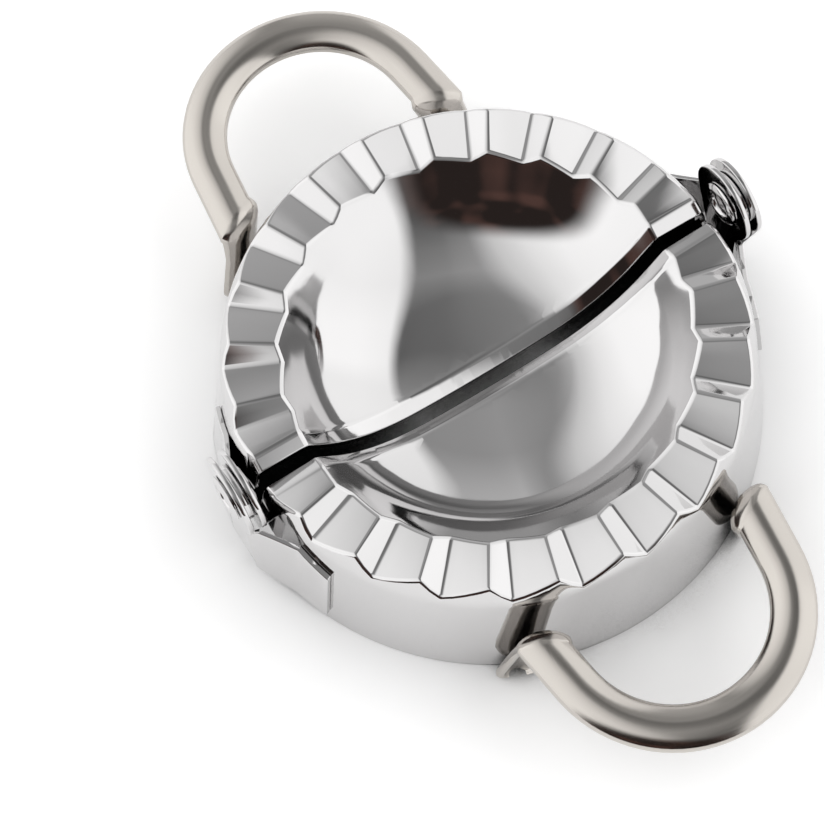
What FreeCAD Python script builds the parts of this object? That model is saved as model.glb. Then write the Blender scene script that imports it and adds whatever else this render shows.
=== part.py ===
import FreeCAD, Part
import math
import os

# A folding dumpling press, open and flat on the table, dish side up.
# Origin: middle of the body on the table. X along the hinge, Y towards the rear handle, Z up.
# The rear half is the front half turned half round about Z.

V = FreeCAD.Vector
ORIGIN = V(0, 0, 0)
X_AXIS = V(1, 0, 0)
Z_AXIS = V(0, 0, 1)
EIGHTH_TURN = math.radians(45)
SAME = 0.001                  # heights closer than this count as level

# Driving dimensions of the stamped halves, in millimetres and degrees
cut_diameter = 82.55          # across the cutter edge, 3.25 inches
hinge_height = 22.5           # hinge axis above the table
wall_draft = 7.5              # lean of the skirt from upright
shell_sheet = 0.8             # steel of the stamping
edge_land = 0.35              # flat left on the cutter edge
edge_taper = 2.5              # height of the ground taper inside the cutter edge
shoulder_drop = 3.3           # start of the rounded shoulder below the hinge axis
shoulder_radius = 9.0         # rounding from the skirt into the rim
rim_width = 8.5               # from the top of the skirt in to the bowl
bowl_depth = 11.9             # bowl below the middle of the pleats
bowl_slope = 51.0             # steepest part of the bowl, at its mouth
bowl_curve = 21.5             # rounding from the bowl's flat middle up to that slope
lip_radius = 0.6              # rounding between the pleats and the bowl
hinge_gap = 2.0               # between the straight edges of the two halves
edge_lip = 3.0                # height of the turned-down lip on the straight edge
dough_gap = 0.6               # left between the rims when the press is shut

# Pleats: ratchet teeth, a gentle rise and a steep fall
pleats_per_half = 12
fall_share = 0.31             # share of each pitch taken by the steep fall
pleat_height = 2.4            # peak to valley at the outer edge of the rim
pleat_start = 1.0             # peak to valley at the bowl

# Hinge straps
strap_sheet = 0.8
strap_low = 2.6               # bottom edge above the table
strap_drop = 7.5              # top edge at the welded end below the hinge axis
neck_drop = 2.8               # top edge beside the ear below the hinge axis
strap_end_angle = 23.0        # welded end, from the hinge axis round the skirt
strap_leave_angle = 15.0      # where the strap comes off the skirt
ear_bend = 4.4                # bend line of the ear from the hinge axis
ear_radius = 6.2              # round end about the rivet
ear_foot = 1.5                # bottom corner of the ear past the hinge axis
outer_neck_low = 5.2          # bottom of the ear that lies outside
inner_neck_low = 8.5          # bottom of the ear that lies inside
ear_wall_clearance = 0.3      # inner ear to the skirt
ear_relief = 0.5              # strap cut back round the ear of the other half
weld_gap = 0.05               # welded pieces to the skirt

# Rivets and washers
shank_radius = 2.5
shank_bore_radius = 1.9
rolled_radius = 3.5           # rolled ends
rolled_height = 0.6
washer_radius = 4.3
washer_sheet = 1.0            # keeps the two ears of one hinge apart
shank_clearance = 0.05        # radial, in every hole
side_play = 0.1               # along the rivet, beside each ear

# Handles
handle_sheet = 1.2
handle_reach = 24.6           # from the cutter edge out to the tip
handle_bend_radius = 17.3     # middle line of the loop's round end
handle_splay = 7.0            # each leg, outwards to its root
handle_shift = 1.2            # loop off the middle of the body
bar_width = 6.7
bar_side = 1.3                # upright sides of the arched bar
bar_crown = 1.5               # arch above the sides
bar_hollow_side = 0.9         # upright sides of the hollow under the arch
bar_bottom = 14.7             # lower edges of the bar above the table
root_bend = 2.6               # outside radius where the bar turns down to its foot
foot_low = 0.8                # bottom of the foot above the table
foot_width = 7.4              # along the skirt
foot_slant = 3.8              # its bottom further from the other foot than its top
foot_corner = 2.0             # rounding of its bottom corners
foot_depth = 2.1              # raised edge of the foot, out from its back

# Worked out from them
cut_radius = cut_diameter / 2
pleat_middle = hinge_height - dough_gap / 2
lean = math.tan(math.radians(wall_draft))
pitch = 180.0 / pleats_per_half
clear_of_all = cut_diameter


def wall_radius(z):
    """Outer radius of the skirt at a height."""
    return cut_radius - z * lean


shoulder_z = hinge_height - shoulder_drop
rim_radius = wall_radius(hinge_height)
bowl_radius = rim_radius - rim_width
inner_ear_in = wall_radius(inner_neck_low) + ear_wall_clearance
inner_ear_out = inner_ear_in + strap_sheet
outer_ear_in = inner_ear_out + washer_sheet + 2 * side_play
outer_ear_out = outer_ear_in + strap_sheet
strap_high = hinge_height - strap_drop
neck_high = hinge_height - neck_drop
relief_radius = ear_radius + ear_relief
hole_radius = shank_radius + shank_clearance


def polar(radius, angle, z):
    """A point at a radius and an angle in degrees from +X."""
    turn = math.radians(angle)
    return V(radius * math.cos(turn), radius * math.sin(turn), z)


def polygon(points):
    return Part.makePolygon(points + [points[0]])


def prism(points, direction):
    """A straight solid on a flat outline of points."""
    return Part.Face(polygon(points)).extrude(direction)


def spin(edges):
    """A full turn about Z of a closed outline of edges in the XZ plane."""
    return Part.Face(Part.Wire(edges)).revolve(ORIGIN, Z_AXIS, 360)


def line(a, b):
    return Part.makeLine(a, b)


def turned(shape):
    """The same shape turned half round about Z, as the other half has it."""
    copy = shape.copy()
    copy.rotate(ORIGIN, Z_AXIS, 180)
    return copy


def mirrored(shape):
    """The shape on the other side of the body."""
    return shape.mirror(ORIGIN, X_AXIS)


# Stamped halves
def pleat_wire(radius, swing):
    """Closed zigzag round the rim: high before each fall, low after it."""
    points = []
    for index in range(2 * pleats_per_half):
        centre = index * pitch
        half_fall = fall_share * pitch / 2
        points.append(polar(radius, centre - half_fall, pleat_middle + swing / 2))
        points.append(polar(radius, centre + half_fall, pleat_middle - swing / 2))
    return polygon(points)


def pleat_block():
    """Everything below the pleated top, which runs out past the skirt and in past the bowl's mouth."""
    outside = cut_radius + shell_sheet
    inside = bowl_radius - pleat_height
    growth = (pleat_height - pleat_start) / (rim_radius - bowl_radius)
    swings = [pleat_start + growth * (radius - bowl_radius) for radius in (inside, outside)]
    rings = [pleat_wire(inside - pleat_height, 0), pleat_wire(inside, swings[0])]
    rings.append(pleat_wire(outside, swings[1]))
    floor_wire = pleat_wire(outside, 0)
    floor_wire.translate(V(0, 0, -pleat_middle - 2 * shell_sheet))
    rings.append(floor_wire)
    faces = [Part.Face(rings[0]), Part.Face(floor_wire)]
    for inner, outer in zip(rings, rings[1:]):
        faces += [Part.makeRuledSurface(a, b) for a, b in zip(inner.OrderedEdges, outer.OrderedEdges)]
    skin = Part.makeShell(faces)
    skin.sewShape()
    return Part.makeSolid(skin)


def shoulder_edges(inset):
    """Skirt and rounded shoulder from the table up, moved inwards by an inset."""
    tilt = math.radians(wall_draft)
    begin = V(wall_radius(shoulder_z) - inset, 0, shoulder_z)
    centre = begin - V(math.cos(tilt), 0, math.sin(tilt)) * shoulder_radius
    upright = math.radians(90)
    middle = (tilt + upright) / 2
    mid_point = centre + V(math.cos(middle), 0, math.sin(middle)) * shoulder_radius
    end = centre + V(0, 0, shoulder_radius)
    return begin, Part.Arc(begin, mid_point, end).toShape(), end


def skirt_block(inset):
    """Round block with the skirt's slope and the shoulder's rounding."""
    begin, arc, end = shoulder_edges(inset)
    below = -shell_sheet if inset else 0
    bottom = V(wall_radius(0) - inset, 0, 0)
    edges = []
    if inset:
        taper_top = V(wall_radius(edge_taper) - inset, 0, edge_taper)
        land = V(cut_radius - edge_land, 0, 0)
        edges += [line(V(0, 0, below), V(land.x, 0, below)), line(V(land.x, 0, below), land)]
        edges += [line(land, taper_top), line(taper_top, begin)]
    else:
        edges += [line(ORIGIN, bottom), line(bottom, begin)]
    edges += [arc, line(end, V(0, 0, end.z)), line(V(0, 0, end.z), V(0, 0, below))]
    return spin(edges)


def bowl_block(grow):
    """The bowl's hollow, larger all round by an amount."""
    slope = math.radians(bowl_slope)
    straight_rise = bowl_depth - bowl_curve * (1 - math.cos(slope))
    bowl_flat = bowl_radius - straight_rise / math.tan(slope) - bowl_curve * math.sin(slope)
    centre = V(bowl_flat, 0, pleat_middle - bowl_depth + bowl_curve)
    radius = bowl_curve + grow
    bottom = centre - Z_AXIS * radius
    middle = centre + V(math.sin(slope / 2), 0, -math.cos(slope / 2)) * radius
    side = centre + V(math.sin(slope), 0, -math.cos(slope)) * radius
    mouth = side + V(math.cos(slope), 0, math.sin(slope)) * bowl_depth
    axis_low = V(0, 0, bottom.z)
    axis_high = V(0, 0, mouth.z)
    edges = [line(axis_low, bottom), Part.Arc(bottom, middle, side).toShape(), line(side, mouth)]
    edges += [line(mouth, axis_high), line(axis_high, axis_low)]
    return spin(edges)


def mouth_edges(shape):
    """The zigzag edge where the pleats run into the bowl."""
    limit = bowl_radius + pleat_height / 2
    low = pleat_middle - pleat_height
    ends_near = [e for e in shape.Edges if all(math.hypot(v.X, v.Y) < limit for v in e.Vertexes)]
    return [e for e in ends_near if e.BoundBox.ZMin > low]


def stamping():
    """Outer form of the whole pressing and the sheet left of it, both full rounds."""
    block = pleat_block()
    outer = skirt_block(0).common(block).cut(bowl_block(0))
    outer = outer.makeFillet(lip_radius, mouth_edges(outer))
    block.translate(V(0, 0, -shell_sheet))
    inner = skirt_block(shell_sheet).common(block).cut(bowl_block(shell_sheet))
    return outer, outer.cut(inner)


def front_shell():
    outer, sheet = stamping()
    reach = clear_of_all
    corner = V(-reach, -reach - hinge_gap / 2, -reach)
    front = sheet.common(Part.makeBox(2 * reach, reach, 2 * reach, corner))
    slab = Part.makeBox(2 * reach, shell_sheet, 2 * reach, V(-reach, -hinge_gap / 2 - shell_sheet, -reach))
    lowered = outer.copy()
    lowered.translate(V(0, 0, -edge_lip))
    lip = outer.common(slab).cut(lowered)
    return front.fuse(lip).removeSplitter()


# Hinge straps, drawn on the left of the front half
def strap_section(angle, low):
    """Cross-section of the strap against the skirt at an angle from the hinge axis."""
    inside = weld_gap
    outside = weld_gap + strap_sheet
    points = []
    for offset, z in ((inside, low), (outside, low), (outside, neck_high), (inside, neck_high)):
        points.append(polar(wall_radius(z) + offset, 180 + angle, z))
    return polygon(points)


def skirt_plate(sheet, low, high):
    """Round band against the skirt between two heights."""
    inside = [V(wall_radius(z) + weld_gap, 0, z) for z in (low, high)]
    outside = [V(wall_radius(z) + weld_gap + sheet, 0, z) for z in (high, low)]
    corners = inside + outside
    edges = [line(a, b) for a, b in zip(corners, corners[1:] + corners[:1])]
    return spin(edges)


def wedge(start, stop):
    """Upright wedge between two angles from the hinge axis, on the left of the front half."""
    far = clear_of_all
    corners = [V(0, 0, -far), polar(far, 180 + start, -far), polar(far, 180 + stop, -far)]
    return prism(corners, Z_AXIS * 2 * far)


def ear_plate(inside, neck_low):
    """Upright plate with a round end about the rivet and a hole for it."""
    centre = V(-inside, 0, hinge_height)

    def at(y, z):
        return V(-inside, y, z)

    def touch(corner, side):
        """Point where a line from a corner runs onto the round end."""
        away = corner - centre
        turn = math.atan2(away.z, away.y) + side * math.acos(ear_radius / away.Length)
        return centre + V(0, math.cos(turn), math.sin(turn)) * ear_radius

    near_low = at(-ear_bend, neck_low)
    far_low = at(ear_foot, neck_low)
    near_high = at(-ear_bend, hinge_height - math.sqrt(relief_radius ** 2 - ear_bend ** 2))
    onto_far = touch(far_low, 1)
    onto_near = touch(near_high, -1)
    over = Part.Arc(onto_far, centre + Z_AXIS * ear_radius, onto_near).toShape()
    edges = [line(near_low, far_low), line(far_low, onto_far), over]
    edges += [line(onto_near, near_high), line(near_high, near_low)]
    plate = Part.Face(Part.Wire(edges)).extrude(-X_AXIS * strap_sheet)
    hole = Part.makeCylinder(hole_radius, strap_sheet, centre, -X_AXIS)
    return plate.cut(hole)


def above_strap():
    """Everything over the top edge of the strap, which climbs from its welded end to the ear."""
    end = -wall_radius(strap_high) * math.sin(math.radians(strap_end_angle))
    climb = (neck_high - strap_high) / (-ear_bend - end)
    far = clear_of_all
    outline = [V(-far, 2 * end, strap_high + climb * end), V(-far, 0, strap_high - climb * end)]
    outline += [V(-far, 0, far), V(-far, 2 * end, far)]
    return prism(outline, X_AXIS * far)


def strap(inside, neck_low, straight_low):
    """Welded end on the skirt, straight run off it, and the ear."""
    welded = skirt_plate(strap_sheet, strap_low, neck_high).common(wedge(strap_leave_angle, strap_end_angle))
    outside = inside + strap_sheet
    low_edge = [V(-x, -ear_bend, straight_low) for x in (inside, outside)]
    high_edge = [V(-x, -ear_bend, neck_high) for x in (outside, inside)]
    bend_points = low_edge + high_edge
    straight = Part.makeLoft([strap_section(strap_leave_angle, straight_low), polygon(bend_points)], True, True)
    relief = Part.makeCylinder(relief_radius, clear_of_all, V(-clear_of_all, 0, hinge_height), X_AXIS)
    run = welded.fuse(straight).cut([above_strap(), relief])
    return run.fuse(ear_plate(inside, neck_low)).removeSplitter()


def outer_strap():
    return strap(outer_ear_in, outer_neck_low, strap_low)


def inner_strap():
    return strap(inner_ear_in, inner_neck_low, inner_neck_low)


# Rivet and washer, drawn on the left
outer_seat = outer_ear_out + side_play
inner_seat = inner_ear_in - side_play


def rivet():
    """Tube through both ears and the washer between them, each end rolled over."""

    def at(x, radius):
        return V(-x, 0, hinge_height + radius)

    def rolled(seat, end):
        """Half of a rolled end's outline: over the roll, then down its flat side."""
        middle_radius = shank_radius + (rolled_radius - shank_radius) * math.cos(EIGHTH_TURN)
        middle = at(seat + (end - seat) * math.sin(EIGHTH_TURN), middle_radius)
        over = Part.Arc(at(end, shank_radius), middle, at(seat, rolled_radius)).toShape()
        return [over, line(at(seat, rolled_radius), at(seat, shank_radius))]

    outer_end = outer_seat + rolled_height
    inner_end = inner_seat - rolled_height
    edges = [line(at(inner_end, shank_bore_radius), at(outer_end, shank_bore_radius))]
    edges += [line(at(outer_end, shank_bore_radius), at(outer_end, shank_radius))]
    edges += rolled(outer_seat, outer_end)
    edges += [line(at(outer_seat, shank_radius), at(inner_seat, shank_radius))]
    edges += list(reversed(rolled(inner_seat, inner_end)))
    edges += [line(at(inner_end, shank_radius), at(inner_end, shank_bore_radius))]
    return Part.Face(Part.Wire(edges)).revolve(V(0, 0, hinge_height), X_AXIS, 360)


def washer():
    place = V(-inner_ear_out - side_play, 0, hinge_height)
    disc = Part.makeCylinder(washer_radius, washer_sheet, place, -X_AXIS)
    return disc.cut(Part.makeCylinder(hole_radius, washer_sheet, place, -X_AXIS))


# Handle of the front half
foot_back = wall_radius(foot_low) + weld_gap
bar_top = bar_bottom + bar_side + bar_crown


def arch(place, heading, half, low, side, crown):
    """Arched outline across the bar: flat below, upright sides, round above."""
    across = heading.cross(Z_AXIS)

    def at(offset, rise):
        return place + across * offset + Z_AXIS * rise

    over = Part.Arc(at(-half, side), at(0, crown), at(half, side)).toShape()
    edges = [line(at(half, low), at(-half, low)), line(at(-half, low), at(-half, side))]
    edges += [over, line(at(half, side), at(half, low))]
    return Part.Wire(edges)


def leg_point(leg_end, heading, radius):
    """Where a leg of the loop comes to a radius about the middle of the body."""
    along = leg_end.x * heading.x + leg_end.y * heading.y
    outside = leg_end.x ** 2 + leg_end.y ** 2 - radius ** 2
    return leg_end + heading * (-along - math.sqrt(along ** 2 - outside))


def loop():
    """Plan of the loop: ends of both legs at its round end, their headings to the body, and the tip."""
    splay = math.radians(handle_splay)
    tip = V(handle_shift, bar_width / 2 - cut_radius - handle_reach, bar_bottom)
    centre = tip + V(0, handle_bend_radius, 0)
    ends = []
    for side in (1, -1):
        leg_end = centre + V(side * math.cos(splay), -math.sin(splay), 0) * handle_bend_radius
        ends.append((leg_end, V(side * math.sin(splay), math.cos(splay), 0)))
    return ends, tip


def swept(radius, half, low, side, crown):
    """The arched outline run along the loop, its ends at a radius about the middle of the body."""
    ends, tip = loop()
    roots = [leg_point(leg_end, heading, radius) for leg_end, heading in ends]
    round_end = Part.Arc(ends[0][0], tip, ends[1][0]).toShape()
    path = Part.Wire([line(roots[0], ends[0][0]), round_end, line(ends[1][0], roots[1])])
    return path.makePipeShell([arch(roots[0], ends[0][1], half, low, side, crown)], True, False)


def foot_block(seat, back, front, inset, high):
    """Upright plate up to a height, slanted along the skirt, its edges moved in by an inset."""
    outward = V(seat.x, seat.y, 0).normalize()
    across = Z_AXIS.cross(outward)
    slant = math.copysign(foot_slant, seat.x) / (bar_bottom - foot_low)
    low = foot_low + inset
    half = foot_width / 2 - inset

    def at(side, z):
        return across * (slant * (bar_bottom - z) + side * half) + Z_AXIS * z

    outline = [at(-1, low), at(1, low), at(1, high), at(-1, high)]
    block = prism(outline, outward * clear_of_all)
    level = [e for e in block.Edges if e.BoundBox.ZMax < low + SAME]
    corners = [e for e in level if e.Length > clear_of_all / 2]
    block = block.makeFillet(foot_corner - inset, corners)
    ring = Part.makeCylinder(front, high).cut(Part.makeCylinder(back, high))
    return ring.common(block)


def turned_down_room(inset):
    """Room behind the feet and over the rounding where the bar turns down to them, and an inset more."""
    centre = V(foot_back + root_bend, 0, bar_top - root_bend)
    radius = root_bend - inset
    begin = centre - X_AXIS * radius
    low = V(begin.x, 0, 0)
    middle = centre + V(-math.cos(EIGHTH_TURN), 0, math.sin(EIGHTH_TURN)) * radius
    end = centre + Z_AXIS * radius
    above = V(end.x, 0, hinge_height)
    top = V(0, 0, hinge_height)
    edges = [line(ORIGIN, low), line(low, begin), Part.Arc(begin, middle, end).toShape()]
    edges += [line(end, above), line(above, top), line(top, ORIGIN)]
    return spin(edges)


def front_handle():
    half = bar_width / 2
    bar = swept(rim_radius, half, 0, bar_side, bar_side + bar_crown)
    hollow_crown = bar_side + bar_crown - handle_sheet
    hollow = swept(rim_radius, half - handle_sheet, 0, bar_hollow_side, hollow_crown)
    hollow = hollow.cut(turned_down_room(handle_sheet))
    front_of_back = foot_back + handle_sheet
    ends, tip = loop()
    seats = [leg_point(leg_end, heading, foot_back + foot_depth / 2) for leg_end, heading in ends]
    foot_front = foot_back + foot_depth
    foot_high = bar_bottom + bar_hollow_side
    feet = [foot_block(seat, foot_back, foot_front, 0, foot_high) for seat in seats]
    pockets = [foot_block(seat, front_of_back, foot_front, handle_sheet, bar_bottom) for seat in seats]
    return bar.fuse(feet).cut(pockets + [hollow, turned_down_room(0)]).removeSplitter()


def main():
    os.makedirs("parts", exist_ok=True)
    shell = front_shell()
    handle = front_handle()
    outside = outer_strap()
    inside = mirrored(inner_strap())
    left_rivet = rivet()
    left_washer = washer()
    nodes = {
        "front_shell": shell,
        "rear_shell": turned(shell),
        "front_handle": handle,
        "rear_handle": turned(handle),
        "front_left_strap": outside,
        "front_right_strap": inside,
        "rear_left_strap": turned(inside),
        "rear_right_strap": turned(outside),
        "left_rivet": left_rivet,
        "right_rivet": turned(left_rivet),
        "left_washer": left_washer,
        "right_washer": turned(left_washer),
    }
    for name, shape in nodes.items():
        box = shape.optimalBoundingBox()
        size = "%.2f x %.2f x %.2f mm" % (box.XLength, box.YLength, box.ZLength)
        print(name, len(shape.Solids), "solid", "valid" if shape.isValid() else "not valid", size)
        shape.exportStep("parts/" + name + ".step")


main()
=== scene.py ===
# %% [markdown]
# # A folding dumpling press in stainless steel
# The press is two stamped half-round shells on a hinge. Each has half of a bowl, a pleated rim that crimps the
# dough and a tall skirt that cuts it out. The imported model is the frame: every piece made here sits where that
# model has it, so it is loaded first, and its box is kept to compare with at the end.

# %% Load the frame
import bmesh
import bpy
import math
from mathutils import Matrix, Vector


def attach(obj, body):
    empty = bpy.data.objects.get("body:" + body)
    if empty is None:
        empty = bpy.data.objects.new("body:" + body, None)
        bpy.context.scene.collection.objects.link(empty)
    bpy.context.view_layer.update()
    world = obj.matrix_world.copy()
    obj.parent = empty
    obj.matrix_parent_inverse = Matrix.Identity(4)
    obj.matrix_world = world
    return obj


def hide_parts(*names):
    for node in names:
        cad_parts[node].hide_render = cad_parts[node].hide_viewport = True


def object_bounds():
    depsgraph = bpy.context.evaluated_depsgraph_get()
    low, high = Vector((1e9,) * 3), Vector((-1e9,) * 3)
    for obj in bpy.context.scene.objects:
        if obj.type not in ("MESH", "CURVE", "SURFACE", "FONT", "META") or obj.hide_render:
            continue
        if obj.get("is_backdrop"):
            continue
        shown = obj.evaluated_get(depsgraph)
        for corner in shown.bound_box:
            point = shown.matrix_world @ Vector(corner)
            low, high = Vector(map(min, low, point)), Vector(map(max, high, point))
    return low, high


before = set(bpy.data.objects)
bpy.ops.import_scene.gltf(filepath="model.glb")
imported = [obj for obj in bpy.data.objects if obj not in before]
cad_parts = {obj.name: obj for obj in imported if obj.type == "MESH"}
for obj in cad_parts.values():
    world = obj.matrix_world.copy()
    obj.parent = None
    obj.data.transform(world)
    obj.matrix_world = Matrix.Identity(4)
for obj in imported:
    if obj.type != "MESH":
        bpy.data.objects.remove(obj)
cad_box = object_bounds()
print("nodes:", ", ".join(sorted(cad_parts)))

# %% [markdown]
# ## Camera
# The press is seen from the front left and from high up. A camera can be aimed by eye, but here its angles and
# distance were worked out from the round rim, which the view turns into an ellipse. A long lens from 39 cm keeps
# the far handle almost as large as the near one, and a little lens shift puts the press where it is in the picture.

# %% Camera
VIEW_AZIMUTH = math.radians(-31.72)
VIEW_ELEVATION = math.radians(68.38)
VIEW_ROLL = math.radians(-1.04)
VIEW_DISTANCE = 0.39475
IMAGE_WIDTH = 825
FOCAL_LENGTH = 2619                         # in pixels
MIDDLE_SHIFT = (-76.74, -17.67)             # of the lens, in pixels
SENSOR = 36

back = Vector((math.sin(VIEW_AZIMUTH) * math.cos(VIEW_ELEVATION),
               -math.cos(VIEW_AZIMUTH) * math.cos(VIEW_ELEVATION),
               math.sin(VIEW_ELEVATION)))
level_right = Vector((0, 0, 1)).cross(back).normalized()
level_up = back.cross(level_right)
camera_right = level_right * math.cos(VIEW_ROLL) + level_up * math.sin(VIEW_ROLL)
camera_up = level_up * math.cos(VIEW_ROLL) - level_right * math.sin(VIEW_ROLL)

bpy.ops.object.camera_add(location=back * VIEW_DISTANCE)
camera = bpy.context.object
camera.rotation_euler = Matrix((camera_right, camera_up, back)).transposed().to_euler()
camera.data.sensor_fit = "HORIZONTAL"
camera.data.sensor_width = SENSOR
camera.data.lens = FOCAL_LENGTH / IMAGE_WIDTH * SENSOR
camera.data.shift_x, camera.data.shift_y = (pixels / IMAGE_WIDTH for pixels in MIDDLE_SHIFT)
camera.data.clip_start, camera.data.clip_end = 0.01, 10
bpy.context.scene.camera = camera
print("camera at", [round(c, 3) for c in camera.location], "with a lens of", round(camera.data.lens, 1), "mm")

# %% [markdown]
# ## Hand tools
# Most of the steel is turned, bent or folded, so the pieces start as a chain of points, as a lathe or a folding
# machine starts from a profile. A plane merged to one point and then extruded step by step draws such a chain.
# Blender's tools act on what is selected, so a second helper selects points, edges or faces by a test.

# %% Drawing a chain and picking parts of a mesh
MM = 0.001


def draw_chain(name, points):
    """A new piece in edit mode: one chain of edges through points in millimetres, its last point selected."""
    if bpy.context.object and bpy.context.object.mode == "EDIT":
        bpy.ops.object.mode_set(mode="OBJECT")
    bpy.ops.object.select_all(action="DESELECT")
    bpy.ops.mesh.primitive_plane_add(size=MM)
    piece = bpy.context.object
    piece.name = piece.data.name = name
    bpy.ops.object.mode_set(mode="EDIT")
    bpy.ops.mesh.select_mode(type="VERT")
    bpy.ops.mesh.select_all(action="SELECT")
    bpy.ops.mesh.merge(type="CENTER")
    bpy.ops.transform.translate(value=Vector(points[0]) * MM)
    for before, after in zip(points, points[1:]):
        step = (Vector(after) - Vector(before)) * MM
        bpy.ops.mesh.extrude_vertices_move(TRANSFORM_OT_translate={"value": step})
    return piece


def pick(kind, wanted):
    """Select only the VERT, EDGE or FACE parts of the piece in edit mode that pass a test, and count them."""
    bpy.ops.mesh.select_mode(type=kind)
    bpy.ops.mesh.select_all(action="DESELECT")
    mesh = bpy.context.object.data
    shape = bmesh.from_edit_mesh(mesh)
    chosen = [part for part in {"VERT": shape.verts, "EDGE": shape.edges, "FACE": shape.faces}[kind] if wanted(part)]
    for part in chosen:
        part.select_set(True)
    bmesh.update_edit_mesh(mesh)
    return len(chosen)


def out_from_middle(point):
    """Distance of a point from the upright axis of the press, in millimetres."""
    return math.hypot(point.x, point.y) / MM


# %% [markdown]
# ## Pleated shell: the outline
# One stamping is skirt, shoulder, pleated rim and bowl in one sheet. The rim's pleats are ratchet teeth: a wide
# gentle rise and a short steep fall. Where a tooth is high, the rim meets the rounded shoulder further in, and the
# bowl further out, which gives the zigzag lines on both sides of the rim. So the outline is worked out for any
# height of the tooth, and the same points are found again on every outline.

# %% Outline of the shell
CUT_RADIUS = 41.275
HINGE_HEIGHT = 22.5
WALL_LEAN = math.tan(math.radians(7.5))
SHEET = 0.8
SHOULDER_START = 19.2
SHOULDER_RADIUS = 9.0
PLEAT_MIDDLE = 22.2
RIM_RADIUS = CUT_RADIUS - HINGE_HEIGHT * WALL_LEAN
BOWL_RADIUS = RIM_RADIUS - 8.5
BOWL_SLOPE = math.radians(51)
BOWL_CURVE = 21.5
BOWL_BOTTOM = PLEAT_MIDDLE - 11.9
PLEAT_AT_RIM = 2.4
PLEAT_AT_BOWL = 1.0
WALL_HEIGHTS = (0, 2.5, 6, 10, 14.5, 17)
SHOULDER_STEPS = 3
BOWL_STEPS = 9
DISH_SLOPE = math.radians(6)                # the bowl's middle is a shallow dish
DISH_STEPS = 6

shoulder_centre = Vector((CUT_RADIUS - SHOULDER_START * WALL_LEAN, SHOULDER_START))
shoulder_tilt = math.atan(WALL_LEAN)
shoulder_centre -= Vector((math.cos(shoulder_tilt), math.sin(shoulder_tilt))) * SHOULDER_RADIUS
bowl_arc_rise = BOWL_CURVE * (1 - math.cos(BOWL_SLOPE))
bowl_arc_edge = BOWL_RADIUS - (PLEAT_MIDDLE - BOWL_BOTTOM - bowl_arc_rise) / math.tan(BOWL_SLOPE)
bowl_flat = bowl_arc_edge - BOWL_CURVE * math.sin(BOWL_SLOPE)


def pleat_height(radius, wave):
    """Height of the rim at a radius: wave is 0.5 on the ridge of a tooth and -0.5 in its valley."""
    growth = (PLEAT_AT_RIM - PLEAT_AT_BOWL) / (RIM_RADIUS - BOWL_RADIUS)
    return PLEAT_MIDDLE + wave * (PLEAT_AT_BOWL + growth * (radius - BOWL_RADIUS))


def shell_outline(wave):
    """Radius and height from the cutter edge to the middle of the bowl, and the first and last step of the rim."""
    points = [(CUT_RADIUS - z * WALL_LEAN, z) for z in WALL_HEIGHTS]
    rim_edge, mouth = RIM_RADIUS, BOWL_RADIUS
    for closer in range(12):
        turn = math.asin((pleat_height(rim_edge, wave) - shoulder_centre.y) / SHOULDER_RADIUS)
        rim_edge = shoulder_centre.x + SHOULDER_RADIUS * math.cos(turn)
        mouth = BOWL_RADIUS + (pleat_height(mouth, wave) - PLEAT_MIDDLE) / math.tan(BOWL_SLOPE)
    for step in range(SHOULDER_STEPS + 1):
        part = shoulder_tilt + (turn - shoulder_tilt) * step / SHOULDER_STEPS
        points.append((shoulder_centre.x + SHOULDER_RADIUS * math.cos(part),
                       shoulder_centre.y + SHOULDER_RADIUS * math.sin(part)))
    rim_start = len(points) - 1
    middle = (rim_edge + mouth) / 2
    points += [(middle, pleat_height(middle, wave)), (mouth, pleat_height(mouth, wave))]
    rim_end = len(points) - 1
    halfway = (mouth + bowl_arc_edge) / 2
    points.append((halfway, BOWL_BOTTOM + bowl_arc_rise + (halfway - bowl_arc_edge) * math.tan(BOWL_SLOPE)))
    for step in range(BOWL_STEPS, -1, -1):
        part = DISH_SLOPE + (BOWL_SLOPE - DISH_SLOPE) * step / BOWL_STEPS
        points.append((bowl_flat + BOWL_CURVE * math.sin(part), BOWL_BOTTOM + BOWL_CURVE * (1 - math.cos(part))))
    edge, height = points[-1]
    for step in range(DISH_STEPS - 1, -1, -1):
        share = step / DISH_STEPS
        points.append((edge * share, height - edge * math.tan(DISH_SLOPE) / 2 * (1 - share ** 2)))
    return points, rim_start, rim_end


level_outline, rim_start, rim_end = shell_outline(0)
print("outline of", len(level_outline), "points, rim from", round(level_outline[rim_start][0], 2), "to",
      round(level_outline[rim_end][0], 2), "mm")

# %% [markdown]
# ## Pleated shell: one tooth, then all of them
# A whole rim could be drawn at once, but a maker draws one tooth and repeats it. The level outline is spun through
# one tooth in six steps. Then the points of each column are moved to the outline of their own height, and the
# ridge, the valley and both zigzag lines are marked as seams, so that they can be found again to be rounded.

# %% One tooth
PITCH = 15.0
FALL = 0.31 * PITCH
RISE_HALF = (PITCH - FALL) / 2
columns = [(0, 0), (RISE_HALF / 2, 0.25), (RISE_HALF, 0.5), (PITCH / 2, 0),
           (PITCH - RISE_HALF, -0.5), (PITCH - RISE_HALF / 2, -0.25), (PITCH, 0)]
first_turn = 180 - PITCH / 2


def at_turn(radius, height, turn):
    return Vector((radius * math.cos(math.radians(turn)), radius * math.sin(math.radians(turn)), height))


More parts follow.
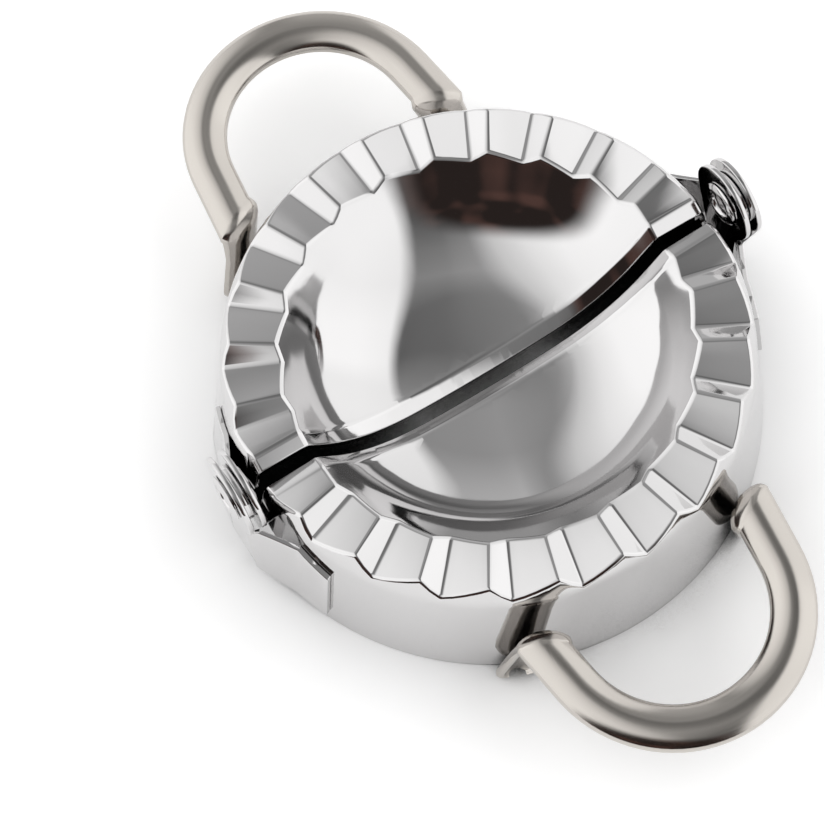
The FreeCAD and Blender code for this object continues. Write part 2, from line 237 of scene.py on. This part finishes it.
shell = draw_chain("front_stamping", [at_turn(r, z, first_turn) for r, z in level_outline])
bpy.ops.mesh.select_all(action="SELECT")
for (start, _), (stop, _) in zip(columns, columns[1:]):
    bpy.ops.mesh.spin(steps=1, angle=-math.radians(stop - start), center=(0, 0, 0), axis=(0, 0, 1))
turns = [math.degrees(math.atan2(v.co.y, v.co.x)) % 360 for v in bmesh.from_edit_mesh(shell.data).verts]
print("tooth from", round(min(turns), 2), "to", round(max(turns), 2), "degrees")

# %% Raise the ridge and lower the valley
for turn, wave in columns:
    for (r, z), (new_r, new_z) in zip(level_outline, shell_outline(wave)[0]):
        old, new = at_turn(r, z, first_turn + turn), at_turn(new_r, new_z, first_turn + turn)
        if (new - old).length > 1e-6:
            pick("VERT", lambda v: (v.co / MM - old).length < 0.01)
            bpy.ops.transform.translate(value=(new - old) * MM)


def outline_place(v):
    """Column and step along the outline of a point of the tooth."""
    turn = math.degrees(math.atan2(v.co.y, v.co.x)) % 360 - first_turn
    column = min(range(len(columns)), key=lambda c: abs(columns[c][0] - turn))
    steps = shell_outline(columns[column][1])[0]
    return column, min(range(len(steps)), key=lambda s: math.hypot(out_from_middle(v.co) - steps[s][0],
                                                                   v.co.z / MM - steps[s][1]))


def is_crease(edge):
    """Ridge, valley and the two zigzag lines."""
    (c1, s1), (c2, s2) = (outline_place(v) for v in edge.verts)
    along = c1 == c2 and columns[c1][1] in (0.5, -0.5) and min(s1, s2) >= rim_start and max(s1, s2) <= rim_end
    return along or (s1 == s2 and s1 in (rim_start, rim_end))


print("creases on one tooth:", pick("EDGE", is_crease))
bpy.ops.mesh.mark_seam()

# %% Thirteen teeth, merged, with their creases rounded
TEETH = 13
CREASE = 0.7
bpy.ops.mesh.select_all(action="SELECT")
bpy.ops.mesh.spin(steps=TEETH - 1, dupli=True, angle=-math.radians(PITCH * (TEETH - 1)),
                  center=(0, 0, 0), axis=(0, 0, 1))
bpy.ops.mesh.select_all(action="SELECT")
bpy.ops.mesh.remove_doubles(threshold=0.005 * MM)
bpy.ops.mesh.normals_make_consistent(inside=False)
pick("EDGE", lambda e: e.seam)
bpy.ops.mesh.mark_seam(clear=True)
bpy.ops.mesh.bevel(offset=CREASE * MM, segments=4, profile=0.5, affect="EDGES", clamp_overlap=True)
print("points after rounding:", len(bmesh.from_edit_mesh(shell.data).verts))

# %% [markdown]
# ## Pleated shell: straight edge and thickness
# The shell is cut along the hinge, a little short of its edge, and the cut edge is then rolled down: first a soft
# roll and a slope, then a tight corner and a short straight lip, as the press tool folds it. Extruding the edge in
# small steps makes that fold, and a narrow level strip before it keeps the light from breaking there. Solidify gives
# the sheet its thickness on the inside, and the inner edge at the bottom is drawn out to the cutting edge.

# %% Straight edge
HINGE_GAP = 2.0
HOLD = 0.3                                  # width of the level strip
SOFT_ROLL, SOFT_TURN = 1.5, math.radians(31)
SLOPE = 1.6
TIGHT_ROLL = 0.4
SOFT_STEPS, TIGHT_STEPS = 5, 4
LIP = 2.4
down_slope = Vector((0, math.cos(SOFT_TURN), -math.sin(SOFT_TURN))) * SLOPE
reach = HOLD + SOFT_ROLL * math.sin(SOFT_TURN) + down_slope.y + TIGHT_ROLL * (1 - math.sin(SOFT_TURN))
drop = SOFT_ROLL * (1 - math.cos(SOFT_TURN)) - down_slope.z + TIGHT_ROLL * math.cos(SOFT_TURN)
bpy.ops.mesh.select_all(action="SELECT")
cut_y = -(HINGE_GAP / 2 + reach) * MM
bpy.ops.mesh.bisect(plane_co=(0, cut_y, 0), plane_no=(0, 1, 0), clear_outer=True, threshold=1e-7)
on_cut = lambda v: abs(v.co.y - cut_y) < 1e-6
on_skirt = lambda v: v.co.z < (SHOULDER_START - 0.01) * MM and out_from_middle(v.co) > RIM_RADIUS
pick("EDGE", lambda e: all(on_cut(v) for v in e.verts) and not all(on_skirt(v) for v in e.verts))
bpy.ops.mesh.extrude_region_move(TRANSFORM_OT_translate={"value": (0, HOLD * MM, 0)})
soft_bend = (SOFT_ROLL, 0, SOFT_TURN, SOFT_STEPS, down_slope)
tight_bend = (TIGHT_ROLL, SOFT_TURN, math.pi / 2, TIGHT_STEPS, Vector((0, 0, drop - LIP)))
for radius, start, stop, steps, straight in (soft_bend, tight_bend):
    for step in range(steps):
        turn, next_turn = (start + (stop - start) * s / steps for s in (step, step + 1))
        move = Vector((0, math.sin(next_turn) - math.sin(turn), math.cos(next_turn) - math.cos(turn))) * radius * MM
        bpy.ops.mesh.extrude_region_move(TRANSFORM_OT_translate={"value": move})
    bpy.ops.mesh.extrude_region_move(TRANSFORM_OT_translate={"value": straight * MM})
pick("EDGE", lambda e: all(on_cut(v) for v in e.verts) and all(on_skirt(v) for v in e.verts))
bpy.ops.mesh.extrude_region_move(TRANSFORM_OT_translate={"value": (0, reach * MM, 0)})
bpy.ops.mesh.select_all(action="SELECT")
bpy.ops.mesh.normals_make_consistent(inside=False)
bpy.ops.object.mode_set(mode="OBJECT")
print("sheet:", len(shell.data.polygons), "faces, straight edge rolled over", round(reach, 2), "mm")


# %% Thickness
def apply_modifier(piece, kind, **settings):
    """Add a modifier with its settings and apply it."""
    bpy.context.view_layer.objects.active = piece
    modifier = piece.modifiers.new(kind.lower(), kind)
    for name, value in settings.items():
        setattr(modifier, name, value)
    bpy.ops.object.modifier_apply(modifier=modifier.name)


apply_modifier(shell, "SOLIDIFY", thickness=SHEET * MM, offset=-1, use_even_offset=True)
CUTTING_LAND = 0.35
EDGE_WEAR = 0.3
bpy.ops.object.mode_set(mode="EDIT")
pick("VERT", lambda v: v.co.z < -1e-6)
bpy.ops.transform.resize(value=(1, 1, 0), center_override=(0, 0, 0))
inner_edge = CUT_RADIUS - SHEET / math.cos(shoulder_tilt)
pick("VERT", lambda v: abs(v.co.z) < 1e-6 and out_from_middle(v.co) < CUT_RADIUS - SHEET / 2)
grow = (CUT_RADIUS - CUTTING_LAND) / inner_edge
bpy.ops.transform.resize(value=(grow, grow, 1), center_override=(0, 0, 0))
on_rim = lambda v: abs(v.co.z) < 1e-6 and out_from_middle(v.co) > CUT_RADIUS - 0.02
pick("EDGE", lambda e: all(on_rim(v) for v in e.verts))
bpy.ops.mesh.bevel(offset=EDGE_WEAR * MM, segments=3, affect="EDGES")
bpy.ops.object.mode_set(mode="OBJECT")
print("shell:", [round(size / MM, 2) for size in shell.dimensions], "mm")


# %% Smooth shading, the other half, and what they ride on
def shade(piece, sharper_than):
    """Smooth shading that leaves flat faces flat, with edges over an angle kept sharp."""
    bpy.ops.object.select_all(action="DESELECT")
    piece.select_set(True)
    bpy.context.view_layer.objects.active = piece
    bpy.ops.object.shade_smooth_by_angle(angle=math.radians(sharper_than))
    apply_modifier(piece, "WEIGHTED_NORMAL", keep_sharp=True, weight=80)


def turned_copy(piece, name):
    """A copy with its own mesh, turned half round about the upright axis, its place in its mesh."""
    bpy.ops.object.select_all(action="DESELECT")
    copy = piece.copy()
    copy.data = piece.data.copy()
    copy.name = copy.data.name = name
    bpy.context.collection.objects.link(copy)
    copy.rotation_euler = (0, 0, math.pi)
    copy.select_set(True)
    bpy.context.view_layer.objects.active = copy
    bpy.ops.object.transform_apply(location=False, rotation=True, scale=False)
    return copy


def stands_for(piece, body, node):
    """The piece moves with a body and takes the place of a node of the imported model."""
    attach(piece, body)
    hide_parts(node)


shade(shell, 40)
rear_shell = turned_copy(shell, "rear_stamping")
stands_for(shell, "front_half", "front_shell")
stands_for(rear_shell, "rear_half", "rear_shell")


# %% [markdown]
# ## Handle
# Each handle is one strip pressed into an arched channel, bent to a loop, and turned down at both ends to a foot
# that is welded to the skirt. It could follow a curve, but here it grows from one cross-section: a spin makes the
# round end, each leg is extruded and cut parallel to the skirt, a second spin turns it down, and the foot is drawn
# down in steps that flatten it and narrow its bottom to a round end.

# %% Cross-section and round end
BAR_BOTTOM = 14.7
LOOP_RADIUS = 17.3
LOOP_SPLAY = math.radians(7)
LOOP_CENTRE = Vector((1.2, -45.225, 0))
LOOP_STEPS = 40
half_over = [(0, 2.8), (0.8, 2.73), (1.6, 2.5), (2.4, 2.1), (3.0, 1.62), (3.27, 1.28),
             (3.35, 0.9), (3.35, 0.25), (3.1, 0)]
half_under = [(2.4, 0), (2.15, 0.25), (2.15, 0.75), (1.8, 1.1), (1.2, 1.4), (0.6, 1.55), (0, 1.6)]
half_section = half_over + half_under
section = half_section + [(-across, rise) for across, rise in reversed(half_section[1:-1])]

aside = Vector((math.cos(LOOP_SPLAY), -math.sin(LOOP_SPLAY), 0))
outline = [LOOP_CENTRE + aside * (LOOP_RADIUS + across) + Vector((0, 0, BAR_BOTTOM + rise)) for across, rise in section]
handle = draw_chain("front_bent_strip", outline)
pick("VERT", lambda v: any((v.co / MM - end).length < 0.001 for end in (outline[0], outline[-1])))
bpy.ops.mesh.edge_face_add()
bpy.ops.mesh.select_all(action="SELECT")
bpy.ops.mesh.spin(steps=LOOP_STEPS, angle=math.pi - 2 * LOOP_SPLAY, center=LOOP_CENTRE * MM, axis=(0, 0, 1))
print("round end: tip at", round(min(v.co.y for v in bmesh.from_edit_mesh(handle.data).verts) / MM, 2), "mm")

# %% Legs and feet
LEG_LENGTH = 14                             # long enough to be cut back to the skirt
FOOT_BACK = 41.22
BEND_HEIGHT = 14.65
BEND_RADIUS = 2.85
BEND_STEPS = 8
FOOT_STEPS = ((1.2, 0.97, 0.92), (2.6, 0.96, 0.84), (7.6, 1, 1), (0.9, 0.95, 1), (0.7, 0.86, 1), (0.5, 0.66, 1))
FOOT_LEAN = 3.8 / 13.9
root_turns = {1: math.radians(-62.4), -1: math.radians(-113.76)}


def turn_down(side):
    """Run a leg to the skirt, turn it down and draw it out to a foot."""
    heading = Vector((side * math.sin(LOOP_SPLAY), math.cos(LOOP_SPLAY), 0))
    start = LOOP_CENTRE + Vector((side * math.cos(LOOP_SPLAY), -math.sin(LOOP_SPLAY), 0)) * LOOP_RADIUS
    outward = Vector((math.cos(root_turns[side]), math.sin(root_turns[side]), 0))
    along = Vector((0, 0, 1)).cross(outward)
    bend = outward * (FOOT_BACK + BEND_RADIUS) + Vector((0, 0, BEND_HEIGHT))
    at_start = lambda v: abs((v.co / MM - start).dot(heading)) < 0.001 and v.co.x * side > 0.005
    pick("EDGE", lambda e: all(at_start(v) for v in e.verts))
    bpy.ops.mesh.extrude_region_move(TRANSFORM_OT_translate={"value": heading * LEG_LENGTH * MM})
    past_start = lambda point: (point / MM - start).dot(heading) > 0.01 and point.x * side > 0
    pick("FACE", lambda f: past_start(f.calc_center_median()))
    bpy.ops.mesh.bisect(plane_co=bend * MM, plane_no=outward, clear_inner=True, threshold=1e-7)
    at_cut = lambda v: abs((v.co / MM - bend).dot(outward)) < 0.001 and v.co.x * side > 0
    pick("EDGE", lambda e: all(at_cut(v) for v in e.verts))
    bpy.ops.mesh.spin(steps=BEND_STEPS, angle=math.pi / 2, center=bend * MM, axis=along)
    ring = [v.co.copy() / MM for v in bmesh.from_edit_mesh(handle.data).verts if v.select]
    place = outward * FOOT_BACK + along * (sum(p.dot(along) for p in ring) / len(ring)) + Vector((0, 0, BEND_HEIGHT))
    print("foot", side, "starts", round(min(p.dot(outward) for p in ring), 2), "mm from the middle at height",
          round(ring[0].z, 2))
    for drop, narrower, flatter in FOOT_STEPS:
        move = along * side * FOOT_LEAN * drop - Vector((0, 0, drop))
        bpy.ops.mesh.extrude_region_move(TRANSFORM_OT_translate={"value": move * MM})
        place += move
        bpy.ops.transform.resize(value=(flatter, narrower, 1), orient_type="GLOBAL", orient_matrix_type="GLOBAL",
                                 orient_matrix=(outward, along, (0, 0, 1)), center_override=place * MM)
    bpy.ops.mesh.edge_face_add()


for side in (-1, 1):
    turn_down(side)
bpy.ops.mesh.select_all(action="SELECT")
bpy.ops.mesh.normals_make_consistent(inside=False)
bpy.ops.object.mode_set(mode="OBJECT")
shade(handle, 40)
rear_handle = turned_copy(handle, "rear_bent_strip")
stands_for(handle, "front_half", "front_handle")
stands_for(rear_handle, "rear_half", "rear_handle")
print("handle:", [round(size / MM, 2) for size in handle.dimensions], "mm")

# %% [markdown]
# ## Rivet
# A short tube holds the two ears of each hinge together with a washer between them, and a press has rolled both of
# its ends over. A lathe profile of that roll, spun about the hinge line, gives the ring of light round a dark bore.

# %% Rivet
HINGE_LINE = (0, 0, HINGE_HEIGHT * MM)
RIVET_STEPS = 48
roll = [(0.95, 1.9), (0.35, 1.97), (0.1, 2.15), (0, 2.5), (0.08, 2.9), (0.26, 3.28), (0.44, 3.48), (0.56, 3.46),
        (0.6, 3.3), (0.6, 2.5)]             # depth from the end of the tube, and radius
outer_end, inner_end = 43.956, 39.756
rivet_profile = [(outer_end - depth, radius) for depth, radius in roll]
rivet_profile += [(inner_end + depth, radius) for depth, radius in reversed(roll)]
rivet_profile.append(rivet_profile[0])
rivet = draw_chain("left_tube_rivet", [(-x, 0, HINGE_HEIGHT + radius) for x, radius in rivet_profile])
bpy.ops.mesh.select_all(action="SELECT")
bpy.ops.mesh.spin(steps=RIVET_STEPS, angle=2 * math.pi, center=HINGE_LINE, axis=(1, 0, 0))
bpy.ops.mesh.select_all(action="SELECT")
bpy.ops.mesh.remove_doubles(threshold=0.002 * MM)
bpy.ops.mesh.normals_make_consistent(inside=False)
bpy.ops.object.mode_set(mode="OBJECT")
shade(rivet, 50)
right_rivet = turned_copy(rivet, "right_tube_rivet")
stands_for(rivet, "front_half", "left_rivet")
stands_for(right_rivet, "front_half", "right_rivet")
print("rivet:", [round(size / MM, 2) for size in rivet.dimensions], "mm")


# %% [markdown]
# ## Straps and washers
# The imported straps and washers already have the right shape: flat sheet with a round ear, and a plain disc. What cut
# sheet also has is a slight rounding on every edge, which catches a bright line of light. A bevel that is left
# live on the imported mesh, after a weld of its doubled points, gives that without changing the mesh.

# %% Rounded edges on the straps and washers
EDGE_ROUNDING = 0.14
kept = [node for name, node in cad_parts.items() if "strap" in name or "washer" in name]
for node in kept:
    weld = node.modifiers.new("weld", "WELD")
    weld.merge_threshold = 0.002 * MM
    rounding = node.modifiers.new("rounded edges", "BEVEL")
    rounding.width = EDGE_ROUNDING * MM
    rounding.segments = 3
    rounding.limit_method = "ANGLE"
    rounding.angle_limit = math.radians(50)
    rounding.use_clamp_overlap = True
    rounding.harden_normals = True
print("kept from the packed model:", len(kept), "pieces")


# %% [markdown]
# ## Steel
# Stainless steel has one colour, a slightly warm grey, and all its looks come from its surface. The shells and the
# hinge were buffed to a mirror: hardly any roughness, faint cloudy patches where the wheel lingered, and a very
# shallow ripple from the press tool. The handles are satin strip, rougher, with a grain along the loop.

# %% Colours and nodes
def linear(hex_colour):
    """An sRGB hex colour as the linear colour that shaders use."""
    channels = [int(hex_colour[i:i + 2], 16) / 255 for i in (1, 3, 5)]
    return [c / 12.92 if c <= 0.04045 else ((c + 0.055) / 1.055) ** 2.4 for c in channels] + [1.0]


def add_node(tree, kind, settings=None, **inputs):
    """One node with its settings; each input, by name or by number, is a value or another node's output."""
    node = tree.nodes.new(kind)
    for name, value in (settings or {}).items():
        setattr(node, name, value)
    for name, value in inputs.items():
        socket = node.inputs[int(name[1:])] if name[1:].isdigit() else node.inputs[name.replace("_", " ")]
        if isinstance(value, bpy.types.NodeSocket):
            tree.links.new(value, socket)
        else:
            socket.default_value = value
    return node


def new_material(name):
    """An empty material, its node tree and its output node."""
    material = bpy.data.materials.new(name)
    material.use_nodes = True
    material.node_tree.nodes.clear()
    return material, material.node_tree, material.node_tree.nodes.new("ShaderNodeOutputMaterial")


def wear(material, pieces):
    """Give pieces this one material."""
    for piece in pieces:
        piece.data.materials.clear()
        piece.data.materials.append(material)


# %% Buffed steel: a mirror with faint clouds and a shallow ripple
PATCH = 0.009                               # size of a buffing cloud, in metres
RIPPLE = 0.0035                             # from crest to crest
RIPPLE_DEPTH = 0.000004
mirror, tree, output = new_material("stainless sheet, drawn and mirror buffed")
place = add_node(tree, "ShaderNodeTexCoord")
clouds = add_node(tree, "ShaderNodeTexNoise", Vector=place.outputs["Object"], Scale=1 / PATCH, Detail=3.0)
haze = add_node(tree, "ShaderNodeMapRange", Value=clouds.outputs["Fac"], From_Min=0.3, From_Max=0.7,
                To_Min=0.045, To_Max=0.085)
ripples = add_node(tree, "ShaderNodeTexNoise", Vector=place.outputs["Object"], Scale=1 / RIPPLE, Detail=1.0)
bump = add_node(tree, "ShaderNodeBump", Strength=1.0, Distance=RIPPLE_DEPTH, Height=ripples.outputs["Fac"])
steel = add_node(tree, "ShaderNodeBsdfPrincipled", Base_Color=linear("#D0CFCF"), Metallic=1.0,
                 Roughness=haze.outputs["Result"], Normal=bump.outputs["Normal"])
tree.links.new(steel.outputs["BSDF"], output.inputs["Surface"])
wear(mirror, [shell, rear_shell, rivet, right_rivet] + kept)
print(mirror.name, "with", len(tree.nodes), "nodes")


# %% Satin steel: a grain round the loop that spreads the light across the bar
GRAIN = 0.0005                              # real grain is five times finer, too fine for this picture
GRAIN_DEPTH = 0.000006
GRAIN_RUN = 0.0006                          # a whole radian of the loop counts as this much, so the grain runs along


def satin_strip(name, loop_centre):
    """Satin steel whose grain circles the middle of a loop."""
    material, tree, output = new_material(name)
    place = add_node(tree, "ShaderNodeTexCoord")
    away = add_node(tree, "ShaderNodeVectorMath", {"operation": "SUBTRACT"},
                    _0=place.outputs["Object"], _1=loop_centre)
    flat = add_node(tree, "ShaderNodeVectorMath", {"operation": "MULTIPLY"}, _0=away.outputs["Vector"], _1=(1, 1, 0))
    radius = add_node(tree, "ShaderNodeVectorMath", {"operation": "LENGTH"}, _0=flat.outputs["Vector"])
    parts = add_node(tree, "ShaderNodeSeparateXYZ", Vector=away.outputs["Vector"])
    turn = add_node(tree, "ShaderNodeMath", {"operation": "ARCTAN2"}, _0=parts.outputs["Y"], _1=parts.outputs["X"])
    short = add_node(tree, "ShaderNodeMath", {"operation": "MULTIPLY"}, _0=turn.outputs["Value"], _1=GRAIN_RUN)
    along = add_node(tree, "ShaderNodeCombineXYZ", X=radius.outputs["Value"], Y=short.outputs["Value"],
                     Z=parts.outputs["Z"])
    grain = add_node(tree, "ShaderNodeTexNoise", Vector=along.outputs["Vector"], Scale=1 / GRAIN, Detail=3.0)
    dull = add_node(tree, "ShaderNodeMapRange", Value=grain.outputs["Fac"], From_Min=0.3, From_Max=0.7,
                    To_Min=0.13, To_Max=0.2)
    bump = add_node(tree, "ShaderNodeBump", Strength=1.0, Distance=GRAIN_DEPTH, Height=grain.outputs["Fac"])
    steel = add_node(tree, "ShaderNodeBsdfPrincipled", Base_Color=linear("#BFBAB4"), Metallic=1.0,
                     Roughness=dull.outputs["Result"], Normal=bump.outputs["Normal"])
    tree.links.new(steel.outputs["BSDF"], output.inputs["Surface"])
    return material


front_centre = LOOP_CENTRE * MM
wear(satin_strip("stainless strip, satin ground, front", front_centre), [handle])
wear(satin_strip("stainless strip, satin ground, rear", Vector((-front_centre.x, -front_centre.y, 0))), [rear_handle])
print(handle.data.materials[0].name, "and its turned copy on", rear_handle.name)

# %% [markdown]
# ## Light tent
# Polished steel shows its surroundings and little else, so the light is a picture of a room, painted by direction.
# White cloths hang left and right of the camera. Between them is a dark strip, behind and above the camera, with a
# hard edge on the right and a soft one on the left. The wall behind the press is a little lighter inside that strip.
# Low in front there is a dark brown patch, which the far side of the bowl mirrors. Lamps could do this too, but a
# painted room has no edges that show as bright squares in the steel.

# %% Painting light by direction
world = bpy.data.worlds.new("light tent")
bpy.context.scene.world = world
world.use_nodes = True
tree = world.node_tree
tree.nodes.clear()


def level_ramp(tree, value, stops):
    """Light along a line of directions, from stops of place and level."""
    ramp = add_node(tree, "ShaderNodeValToRGB", Fac=value)
    while len(ramp.color_ramp.elements) < len(stops):
        ramp.color_ramp.elements.new(0.5)
    for element, (position, level) in zip(ramp.color_ramp.elements, stops):
        element.position = position
        element.color = (*level, 1) if isinstance(level, tuple) else (level, level, level, 1)
    return ramp.outputs["Color"]


# %% Cloths and the dark strip between them
STRIP_TILT, STRIP_MIDDLE = 0.25, 0.1        # how the strip leans, and how far right of the camera it is
WALL = (0.95, 0.95, 0.95, 1)
front = Vector((back.x, back.y, 0)).normalized()
way = add_node(tree, "ShaderNodeTexCoord").outputs["Generated"]
lines = []
for direction, middle in ((level_right - front * STRIP_TILT, STRIP_MIDDLE), (front, 0.0)):
    share = add_node(tree, "ShaderNodeVectorMath", {"operation": "DOT_PRODUCT"}, _0=way, _1=direction)
    lines.append(add_node(tree, "ShaderNodeMapRange", Value=share.outputs["Value"],
                          From_Min=middle - 1, From_Max=middle + 1))
sideways, forwards = (line.outputs["Result"] for line in lines)
cloths = level_ramp(tree, sideways, ((0.0, 1.5), (0.12, 1.45), (0.25, 1.2), (0.36, 0.85), (0.44, 0.3), (0.53, 0.15),
                                     (0.63, 0.11), (0.69, 1.4), (0.85, 1.5), (1.0, 1.5)))
overhead = level_ramp(tree, forwards, ((0.0, 0.0), (0.3, 0.0), (0.45, 0.03), (0.6, 0.22), (0.75, 0.12), (0.85, 0.0)))
behind = level_ramp(tree, forwards, ((0.0, 0.6), (0.1, 0.45), (0.2, 0.32), (0.28, 0.32), (0.34, 0.05)))
in_strip = level_ramp(tree, sideways, ((0.0, 0.0), (0.42, 0.0), (0.5, 1.0)))
far_wall = add_node(tree, "ShaderNodeMath", {"operation": "MULTIPLY_ADD"}, _0=behind, _1=in_strip, _2=overhead)
softer = add_node(tree, "ShaderNodeMix", {"data_type": "RGBA"}, _0=far_wall.outputs["Value"], _6=cloths, _7=WALL)
print("cloths and strip:", len(tree.nodes), "nodes")

# %% Brown patch low in front
SHADE, BLOTCH = (0.03, 0.022, 0.02), (0.11, 0.06, 0.05)
PATCH_LEFT, PATCH_UP = 0.13, 0.17
PATCH_WIDTH, PATCH_SOFT = 40, 7             # degrees from its middle to its edge, and half of the edge's width
patch_middle = (front - level_right * PATCH_LEFT + Vector((0, 0, PATCH_UP))).normalized()
near_patch = add_node(tree, "ShaderNodeVectorMath", {"operation": "DOT_PRODUCT"}, _0=way, _1=patch_middle)
in_patch = add_node(tree, "ShaderNodeMapRange", {"interpolation_type": "SMOOTHSTEP"},
                    Value=near_patch.outputs["Value"], From_Min=math.cos(math.radians(PATCH_WIDTH + PATCH_SOFT)),
                    From_Max=math.cos(math.radians(PATCH_WIDTH - PATCH_SOFT)))
blotches = add_node(tree, "ShaderNodeTexNoise", Vector=way, Scale=4.0, Detail=1.0)
brown = level_ramp(tree, blotches.outputs["Fac"], ((0.0, SHADE), (0.45, SHADE), (0.65, BLOTCH)))
room = add_node(tree, "ShaderNodeMix", {"data_type": "RGBA"}, _0=in_patch.outputs["Result"],
                _6=softer.outputs[2], _7=brown)
print("patch of", 2 * PATCH_WIDTH, "degrees")

# %% White behind the press for the camera, the room for the steel
tent = add_node(tree, "ShaderNodeBackground", Color=room.outputs[2], Strength=1.0)
white = add_node(tree, "ShaderNodeBackground", Color=linear("#FFFFFF"), Strength=1.0)
path = add_node(tree, "ShaderNodeLightPath")
seen = add_node(tree, "ShaderNodeMixShader", Fac=path.outputs["Is Camera Ray"],
                _1=tent.outputs[0], _2=white.outputs[0])
add_node(tree, "ShaderNodeOutputWorld", Surface=seen.outputs[0])
print("light tent of", len(tree.nodes), "nodes")

# %% [markdown]
# ## Floor
# The press stands on a white sheet of paper. Paper that is lit as much as the press comes out pale grey, so the camera
# and the steel see it glow a little where it lies open. Ambient occlusion tells how open it is: the glow fades beside
# the press, which adds painted shade to the real soft shadow. Paper that is shut in below the press is painted dark
# as shade by the same measure, so the gap at the hinge stays black, and when the press folds, the paper that comes
# free is white.

# %% Paper
OPEN_WITHIN = 30                            # millimetres round a point that may hide it
# Below the first openness the paper is painted dark as shade; from the second on it has its own tone.
SHUT_IN, NEARLY_OPEN = 0.3, 0.45            # openness from which paper is dark, and at which it is paper again
FIBRES_PER_METRE = 900.0                    # real fibres are far finer, too fine for this picture
bpy.ops.mesh.primitive_plane_add(size=3, location=(0, 0, 0))
floor = bpy.context.object
floor.name = "floor"
paper, tree, output = new_material("white paper with painted shade")
place = add_node(tree, "ShaderNodeTexCoord")
fibres = add_node(tree, "ShaderNodeTexNoise", Vector=place.outputs["Object"], Scale=FIBRES_PER_METRE, Detail=2.0)
fibre_tone = add_node(tree, "ShaderNodeMapRange", Value=fibres.outputs["Fac"], To_Min=0.90, To_Max=0.93)
openness = add_node(tree, "ShaderNodeAmbientOcclusion", {"samples": 16}, Distance=OPEN_WITHIN * MM).outputs["AO"]
# Painted shade: the paper's colour goes nearly black where the press shuts it in, so the hinge gap shows black.
paper_tone_with_painted_shade = add_node(tree, "ShaderNodeMapRange", Value=openness, From_Min=SHUT_IN, From_Max=NEARLY_OPEN,
                To_Min=0.02, To_Max=fibre_tone.outputs["Result"])
matt = add_node(tree, "ShaderNodeBsdfDiffuse", Color=paper_tone_with_painted_shade.outputs["Result"])
print("paper of", [round(size, 2) for size in floor.dimensions[:2]], "m")

# %% Glow of the open paper
GLOW = 0.4
GLOW_STARTS, GLOW_FULL = 0.35, 0.9          # openness
# The glow fades with openness beside the press, which paints extra shade on top of the real shadow.
outside = add_node(tree, "ShaderNodeMapRange", Value=openness, From_Min=GLOW_STARTS, From_Max=GLOW_FULL,
                   To_Min=0.0, To_Max=GLOW)
path = add_node(tree, "ShaderNodeLightPath")
mirrored = add_node(tree, "ShaderNodeMath", {"operation": "MAXIMUM"},
                    _0=path.outputs["Is Glossy Ray"], _1=path.outputs["Is Transmission Ray"])
seen = add_node(tree, "ShaderNodeMath", {"operation": "MAXIMUM"},
                _0=path.outputs["Is Camera Ray"], _1=mirrored.outputs["Value"])
glow = add_node(tree, "ShaderNodeEmission", Color=linear("#FFFFFF"), Strength=outside.outputs["Result"])
lifted = add_node(tree, "ShaderNodeAddShader", _0=matt.outputs[0], _1=glow.outputs[0])
both = add_node(tree, "ShaderNodeMixShader", Fac=seen.outputs["Value"], _1=matt.outputs[0], _2=lifted.outputs[0])
tree.links.new(both.outputs[0], output.inputs["Surface"])
wear(paper, [floor])
print("floor material of", len(tree.nodes), "nodes")
floor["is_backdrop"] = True
bpy.context.scene.view_settings.view_transform = "Standard"

# %% [markdown]
# ## Sizes
# The pieces made here have to stay inside the box of the imported model, which is what other parts are set against.
# Both boxes are printed as their sizes in millimetres.

# %% Sizes
visual_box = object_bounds()
for title, (low_corner, high_corner) in (("CAD box", cad_box), ("visual box", visual_box)):
    print(title, [round((b - a) / MM, 2) for a, b in zip(low_corner, high_corner)])
